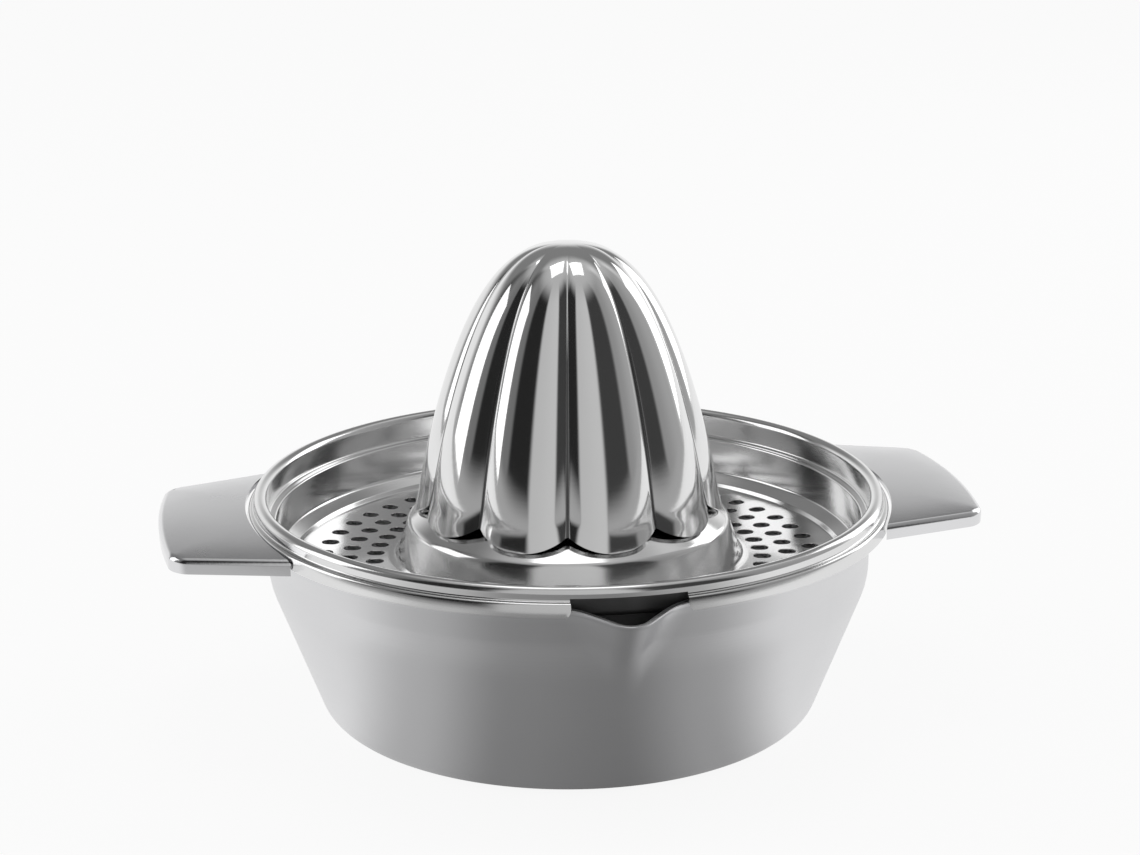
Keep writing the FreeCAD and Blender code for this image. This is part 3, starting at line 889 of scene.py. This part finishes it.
handle_steel, tree, shader = new_material("satin handle steel")
lines = place_group(tree, turned_lines, Lines=1500.0, Reach=40.0).outputs["Lines"]
smear = place_group(tree, handling, Size=60.0, Scratches=220.0).outputs["Smear"]
facing = add_node(tree, "NewGeometry").outputs["Normal"]
upward = add_node(tree, "SeparateXYZ", inputs={0: facing}).outputs[2]
topness = map_range(tree, upward, EDGE_TILT, TOP_TILT)
satin = math_node(tree, "MULTIPLY_ADD", smear, 0.08, 0.22)
polished = math_node(tree, "MULTIPLY_ADD", smear, 0.06, 0.08)
tree.links.new(mixed(tree, topness, polished, satin), shader.inputs["Roughness"])
bump = add_node(
    tree, "Bump", inputs={"Strength": 0.06, "Distance": LINE_RELIEF_HEIGHT, "Height": lines}
)
tree.links.new(bump.outputs[0], shader.inputs["Normal"])
shader.inputs["Metallic"].default_value = 1.0
shader.inputs["Base Color"].default_value = (0.76, 0.76, 0.77, 1)
right_handle.data.materials.append(handle_steel)

left_handle = right_handle.copy()
left_handle.data = right_handle.data.copy()
left_handle.name = "left_handle"
left_handle.data.name = "left_handle"
left_handle.data.transform(Matrix.Rotation(math.pi, 4, "Z"))
bpy.context.collection.objects.link(left_handle)
for handle, node in ((right_handle, "right_ear_handle"), (left_handle, "left_ear_handle")):
    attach(handle, "insert")
    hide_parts(node)


# Studio
# A plain white floor and backdrop, a soft box on each side and one overhead, and a camera at
# the height and distance of the photograph.

STUDIO_TURN = math.radians(10)
FLOOR_SIZE = 6
FLOOR_DROP = 0.2
FLOOR_GLOW = 0.9

# What polished steel mirrors, as brightness by heading. The floor is white but for its front, where a
# painted shadow of the bowl darkens it.
MIRRORED_FLOOR_AND_SHADOW = [
    (-180, 0.95),
    (-70, 0.95),
    (-40, 0.55),
    (-15, 0.25),
    (12, 0.2),
    (36, 0.4),
    (68, 0.95),
    (180, 0.95),
]

# The room is white behind and grey at the sides. In front a pale card stands between two dark
# ones.
MIRRORED_ROOM = [
    (-180, 0.95),
    (-128, 0.9),
    (-112, 0.25),
    (-66, 0.18),
    (-58, 0.02),
    (-30, 0.02),
    (-22, 0.55),
    (22, 0.6),
    (29, 0.05),
    (60, 0.05),
    (70, 0.3),
    (108, 0.4),
    (125, 0.9),
    (180, 0.95),
]


def heading_ramp(tree, vector, stops):
    """Brightness by compass heading: degrees round from the front, negative to the left."""
    turned_vector = add_node(
        tree, "Mapping", vector_type="VECTOR", inputs={0: vector, "Rotation": (0, 0, STUDIO_TURN)}
    ).outputs[0]
    parts = add_node(tree, "SeparateXYZ", inputs={0: turned_vector}).outputs
    heading = math_node(tree, "ARCTAN2", parts[0], math_node(tree, "MULTIPLY", parts[1], -1.0))
    share = map_range(tree, heading, -math.pi, math.pi)
    ramp = add_node(tree, "ValToRGB", inputs={0: share})
    ramp.color_ramp.interpolation = "EASE"
    while len(ramp.color_ramp.elements) < len(stops):
        ramp.color_ramp.elements.new(0.5)
    for element, (degrees, level) in zip(ramp.color_ramp.elements, stops):
        element.position = degrees / 360 + 0.5
        element.color = (level, level, level, 1)
    return ramp.outputs[0]


clear_selection()
bpy.ops.mesh.primitive_plane_add(size=FLOOR_SIZE, location=(0, 0, -FLOOR_DROP * MM))
floor = bpy.context.object
floor.name = "floor"
floor_paint, tree, shader = new_material("white floor")
shader.inputs["Base Color"].default_value = (0.9, 0.9, 0.9, 1)
shader.inputs["Roughness"].default_value = 0.8
place = add_node(tree, "TexCoord").outputs["Object"]
# Painted shadow: in reflections the floor is darker in front of the bowl.
mirrored_shadow_level = heading_ramp(tree, place, MIRRORED_FLOOR_AND_SHADOW)
seen = add_node(tree, "LightPath").outputs
glow_level = mixed(tree, seen["Is Camera Ray"], mirrored_shadow_level, 1.0)
glow = add_node(tree, "Emission", inputs={"Color": (1, 1, 1, 1), "Strength": glow_level})
bright = math_node(tree, "MAXIMUM", seen["Is Camera Ray"], seen["Is Glossy Ray"])
glow_share = math_node(tree, "MULTIPLY", bright, FLOOR_GLOW)
blend = add_node(tree, "MixShader", inputs={0: glow_share})
tree.links.new(shader.outputs[0], blend.inputs[1])
tree.links.new(glow.outputs[0], blend.inputs[2])
tree.links.new(blend.outputs[0], tree.nodes["Material Output"].inputs["Surface"])
floor.data.materials.append(floor_paint)


def soft_box(name, place, aim, width, height, brightness):
    """A rectangular lamp that faces a point; its power follows from its size and brightness."""
    lamp = bpy.data.lights.new(name, "AREA")
    lamp.shape = "RECTANGLE"
    lamp.size = width
    lamp.size_y = height
    lamp.energy = brightness * math.pi * width * height
    holder = bpy.data.objects.new(name, lamp)
    holder.location = place
    holder.rotation_euler = (Vector(aim) - Vector(place)).to_track_quat("-Z", "Y").to_euler()
    bpy.context.collection.objects.link(holder)


LAMP_AIM = (0, 0, 0.05)
soft_box("left soft box", (-0.9, 0.25, 0.4), LAMP_AIM, width=0.5, height=0.7, brightness=1.3)
soft_box("right soft box", (0.85, 0.45, 0.4), LAMP_AIM, width=0.5, height=0.7, brightness=1.3)
soft_box("top soft box", (0.0, 0.1, 1.1), LAMP_AIM, width=0.5, height=0.4, brightness=1.2)

# Brightness of the world as the camera sees it, as it lights matt surfaces, and overhead
WORLD_SEEN = 1.0
WORLD_FILL = 0.6
WORLD_OVERHEAD = 0.5

# Share of the backdrop's brightness left at its top, and the least brightness near the table
BACKDROP_TOP = 0.25
TABLE_EDGE = 0.4

world = bpy.data.worlds.new("studio")
bpy.context.scene.world = world
world.use_nodes = True
tree = world.node_tree
background = tree.nodes["Background"]
seen = add_node(tree, "LightPath").outputs
direction = add_node(tree, "TexCoord").outputs["Generated"]
parts = add_node(tree, "SeparateXYZ", inputs={0: direction}).outputs
behind = map_range(tree, parts[1], 0.1, 0.5, smooth=True)
fading = map_range(tree, parts[2], 0.16, 0.5, 1.0, BACKDROP_TOP, smooth=True)
backdrop_share = mixed(tree, behind, 1.0, fading)
walls = math_node(tree, "MULTIPLY", heading_ramp(tree, direction, MIRRORED_ROOM), backdrop_share)
table_edge = map_range(tree, parts[2], 0.02, 0.13, TABLE_EDGE, 0.0, smooth=True)
walls = math_node(tree, "MAXIMUM", walls, table_edge)
overhead = map_range(tree, parts[2], 0.8, 0.97, smooth=True)
studio = mixed(tree, overhead, walls, WORLD_OVERHEAD)
for_glossy = mixed(tree, seen["Is Glossy Ray"], WORLD_FILL, studio)
for_camera = mixed(tree, seen["Is Camera Ray"], for_glossy, WORLD_SEEN)
background.inputs["Color"].default_value = (1, 1, 1, 1)
tree.links.new(for_camera, background.inputs["Strength"])

CAMERA_TARGET = Vector((0.374, -0.066, 58.75)) * MM
CAMERA_DISTANCE = 0.5
CAMERA_TURN = math.radians(10.0)
CAMERA_ELEVATION = math.radians(16.11)
CAMERA_ROLL = math.radians(-0.19)
CAMERA_LENS = 76.7
CAMERA_SENSOR = 36

outwards = Vector((
    -math.sin(CAMERA_TURN) * math.cos(CAMERA_ELEVATION),
    -math.cos(CAMERA_TURN) * math.cos(CAMERA_ELEVATION),
    math.sin(CAMERA_ELEVATION),
))
lens = bpy.data.cameras.new("camera")
lens.lens = CAMERA_LENS
lens.sensor_width = CAMERA_SENSOR
lens.clip_start = 0.01
camera = bpy.data.objects.new("camera", lens)
camera.matrix_world = (
    Matrix.Translation(CAMERA_TARGET + outwards * CAMERA_DISTANCE)
    @ outwards.to_track_quat("Z", "Y").to_matrix().to_4x4()
    @ Matrix.Rotation(CAMERA_ROLL, 4, "Z")
)
bpy.context.collection.objects.link(camera)
bpy.context.scene.camera = camera
bpy.context.scene.view_settings.view_transform = "Standard"
